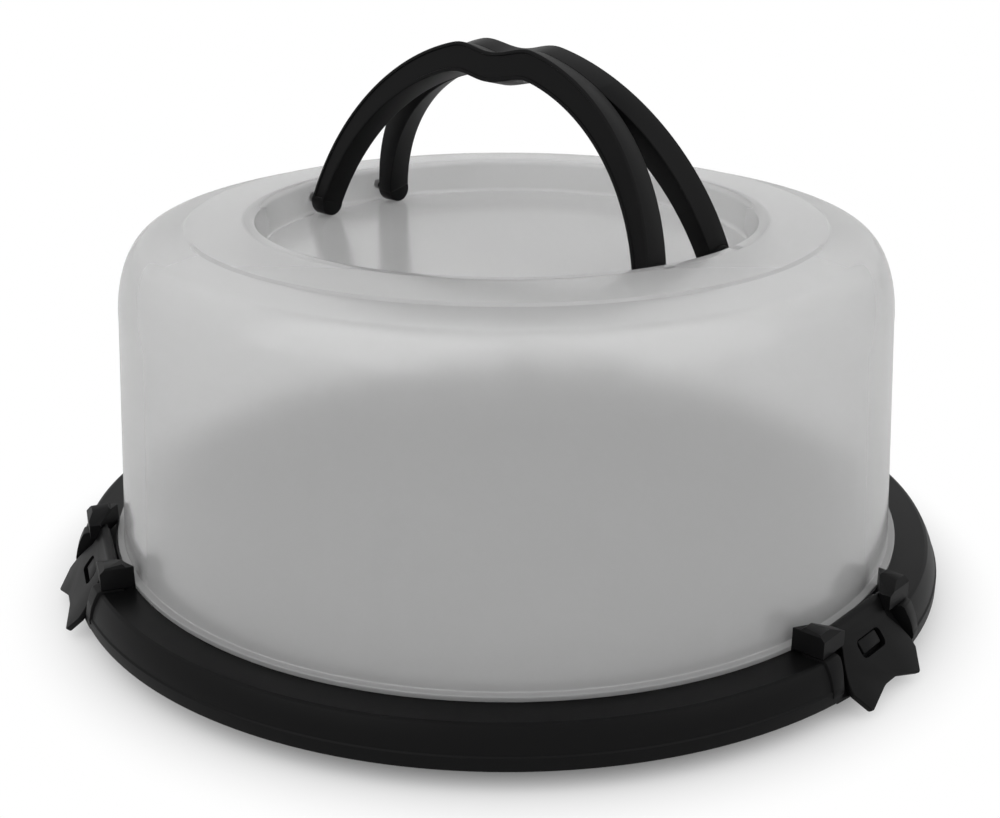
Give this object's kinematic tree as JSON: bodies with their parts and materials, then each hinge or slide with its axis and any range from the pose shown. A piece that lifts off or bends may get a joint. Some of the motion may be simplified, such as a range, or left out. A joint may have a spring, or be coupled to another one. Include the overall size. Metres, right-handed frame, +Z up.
{
  "type": "cake carrier",
  "caption": "Round cake carrier: black tray, frosted domed lid held by swing latches, and folding bail handles that close into a top recess.",
  "frame": {"origin": "centre of the tray's underside, on the face it stands on", "axes": "+Z up through the lid, -Y towards the front of the picture, +X to the right"},
  "size_m": [0.3522, 0.3564, 0.211],
  "materials": {
    "tray": "satin moulded polypropylene, black",
    "lid": "frosted translucent polypropylene with a soft gloss",
    "bracket": "satin moulded plastic, black",
    "latch": "satin moulded plastic, black",
    "handle": "satin moulded plastic, black"
  },
  "bodies": {
    "tray": {"base_tray": "tray"},
    "lid": {"dome_lid": "lid", "latch_bracket_1": "bracket", "latch_bracket_2": "bracket", "latch_bracket_3": "bracket"},
    "latch_1": {"latch_1": "latch"},
    "latch_2": {"latch_2": "latch"},
    "latch_3": {"latch_3": "latch"},
    "handle_front": {"handle_front": "handle"},
    "handle_rear": {"handle_rear": "handle"}
  },
  "joints": [
    {"name": "lid_lift", "type": "slide", "parent": "tray", "child": "lid", "axis": [0, 0, 1], "range_m": [0, 0.18]},
    {"name": "latch_1_swing", "type": "hinge", "parent": "lid", "child": "latch_1", "pos_m": [0.12211, -0.10615, 0.0268], "axis": [-0.6561, -0.7547, 0], "range_deg": [0, 140]},
    {"name": "latch_2_swing", "type": "hinge", "parent": "lid", "child": "latch_2", "pos_m": [-0.15299, -0.05268, 0.0268], "axis": [-0.3256, 0.9455, 0], "range_deg": [0, 140]},
    {"name": "latch_3_swing", "type": "hinge", "parent": "lid", "child": "latch_3", "pos_m": [0.03087, 0.15883, 0.0268], "axis": [0.9816, -0.1908, 0], "range_deg": [0, 140]},
    {"name": "handle_front_fold", "type": "hinge", "parent": "lid", "child": "handle_front", "pos_m": [-0.01306, -0.01352, 0.14011], "axis": [0.7193, -0.6947, 0], "range_deg": [0, 103]},
    {"name": "handle_rear_fold", "type": "hinge", "parent": "lid", "child": "handle_rear", "pos_m": [0.01306, 0.01352, 0.14011], "axis": [-0.7193, 0.6947, 0], "range_deg": [0, 103]}
  ]
}
